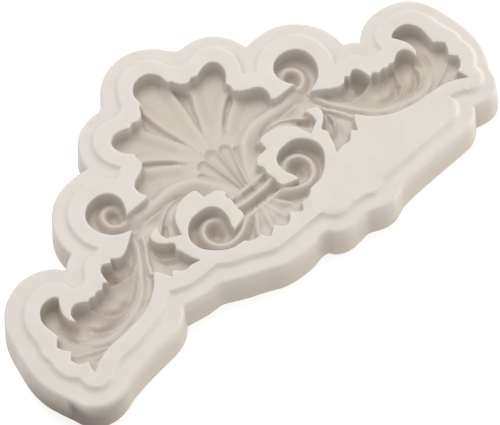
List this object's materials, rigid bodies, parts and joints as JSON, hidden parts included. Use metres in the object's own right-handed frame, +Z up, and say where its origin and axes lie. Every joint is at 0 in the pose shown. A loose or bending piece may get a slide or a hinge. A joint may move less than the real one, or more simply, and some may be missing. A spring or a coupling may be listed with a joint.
{
  "type": "resin casting mould",
  "caption": "Open-face one-piece silicone mould: a carved crest of shell, scrolls and acanthus leaves sunk into a flat rim, with a stepped ledge and leaning outer wall.",
  "frame": {"origin": "on the flat underside, below the crest's line of symmetry, level with the scrolls", "axes": "+X along the mould's length, +Y towards the top of the crest, +Z up out of the open face"},
  "size_m": [0.2039, 0.1081, 0.015],
  "materials": {
    "silicone": "satin"
  },
  "bodies": {
    "root": {"base_slab": "silicone", "corner_pad": "silicone", "crown_border": "silicone", "foot_border": "silicone", "island_left": "silicone", "island_right": "silicone", "leaf_folds_left": "silicone", "leaf_folds_right": "silicone", "leaf_hook_left": "silicone", "leaf_hook_right": "silicone", "leaf_lobe_first_left": "silicone", "leaf_lobe_first_right": "silicone", "leaf_lobe_second_left": "silicone", "leaf_lobe_second_right": "silicone", "leaf_lobe_third_left": "silicone", "leaf_lobe_third_right": "silicone", "lower_fan": "silicone", "lower_volute_left": "silicone", "lower_volute_right": "silicone", "palmette": "silicone", "ring_border_left": "silicone", "ring_border_right": "silicone", "scroll_strand_left": "silicone", "scroll_strand_right": "silicone", "shell_groove_left": "silicone", "shell_groove_right": "silicone", "shell_lobe_centre": "silicone", "shell_lobe_lower_left": "silicone", "shell_lobe_lower_right": "silicone", "shell_lobe_upper_left": "silicone", "shell_lobe_upper_right": "silicone", "small_leaf_left": "silicone", "small_leaf_right": "silicone", "tie_band": "silicone", "upper_volute_left": "silicone", "upper_volute_right": "silicone", "wing_border_left": "silicone", "wing_border_right": "silicone"}
  },
  "joints": []
}
